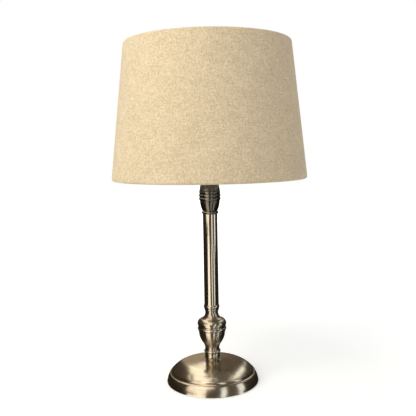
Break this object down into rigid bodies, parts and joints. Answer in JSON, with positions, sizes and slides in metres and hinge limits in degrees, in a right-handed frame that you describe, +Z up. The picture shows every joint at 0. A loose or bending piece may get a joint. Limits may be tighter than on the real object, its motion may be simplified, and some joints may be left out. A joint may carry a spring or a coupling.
{
  "type": "table lamp",
  "caption": "Table lamp with a round weighted foot, a turned brass stem on a threaded rod, a switched screw lampholder and a tapered fabric drum shade that lifts off.",
  "frame": {"origin": "middle of the felt pad's underside, on the stem's axis, at table height", "axes": "+Z up along the stem; the picture looks along +Y; the cord inlet faces +Y, the back; the switch bar runs along X"},
  "size_m": [0.25, 0.25, 0.4414],
  "materials": {
    "antique_brass": "satin, lathe-brushed, antiqued",
    "green_felt": "felt",
    "fibre_board": "raw",
    "grey_iron": "as cast",
    "zinc_steel": "zinc plated",
    "bright_brass": "bright",
    "black_plastic": "moulded",
    "white_nylon": "moulded",
    "brown_wire": "insulated",
    "blue_wire": "insulated",
    "green_wire": "insulated",
    "white_porcelain": "glazed",
    "white_wire_frame": "powder coated",
    "white_liner": "matt",
    "oatmeal_fabric": "felted melange",
    "black_glass": "gloss",
    "nickel_cap": "plain",
    "clear_glass": "clear",
    "yellow_filament": "coated"
  },
  "bodies": {
    "stand": {"base_shell": "antique_brass", "base_weight": "grey_iron", "block_screws": "bright_brass", "bottom_cover": "fibre_board", "centre_contact": "bright_brass", "clamp_washer": "zinc_steel", "column_tube": "antique_brass", "cord_bush": "black_plastic", "cup_cover": "antique_brass", "earth_lead": "green_wire", "earth_tag": "bright_brass", "felt_pad": "green_felt", "foot_ring": "antique_brass", "holder_cap": "black_plastic", "holder_core": "white_porcelain", "holder_skirt": "black_plastic", "holder_terminals": "bright_brass", "knop_band": "antique_brass", "live_lead": "brown_wire", "lock_nut": "zinc_steel", "lower_collar": "antique_brass", "lower_vase": "antique_brass", "neutral_lead": "blue_wire", "screw_shell": "bright_brass", "switch_block": "black_plastic", "terminal_block": "white_nylon", "threaded_rod": "zinc_steel", "upper_collar": "antique_brass", "urn_cup": "antique_brass", "vase_shoulder": "antique_brass"},
    "switch": {"switch_bar": "black_plastic"},
    "shade_ring": {"shade_nut": "black_plastic"},
    "shade": {"shade_fitter": "white_wire_frame", "shade_arms": "white_wire_frame", "shade_bottom_ring": "white_wire_frame", "shade_top_ring": "white_wire_frame", "shade_liner": "white_liner", "shade_cover": "oatmeal_fabric"},
    "bulb_tip": {"bulb_contact": "bright_brass"},
    "bulb": {"bulb_insulator": "black_glass", "bulb_cap": "nickel_cap", "bulb_glass": "clear_glass", "bulb_stem": "clear_glass", "bulb_filaments": "yellow_filament"}
  },
  "joints": [
    {"name": "switch_push", "type": "slide", "parent": "stand", "child": "switch", "axis": [1, 0, 0], "range_m": [0, 0.006]},
    {"name": "shade_lift", "type": "slide", "parent": "stand", "child": "shade_ring", "axis": [0, 0, 1], "range_m": [0, 0.14]},
    {"name": "shade_turn", "type": "hinge", "parent": "shade_ring", "child": "shade", "pos_m": [0, 0, 0.2938], "axis": [0, 0, 1], "continuous": true},
    {"name": "bulb_rise", "type": "slide", "parent": "stand", "child": "bulb_tip", "axis": [0, 0, 1], "range_m": [0, 0.0182]},
    {"name": "bulb_turn", "type": "hinge", "parent": "bulb_tip", "child": "bulb", "pos_m": [0, 0, 0.31], "axis": [0, 0, 1], "range_deg": [0, 1800]}
  ],
  "couplings": [
    {"joint": "bulb_rise", "follows": "bulb_turn", "m_per_rad": 0.00057757}
  ]
}
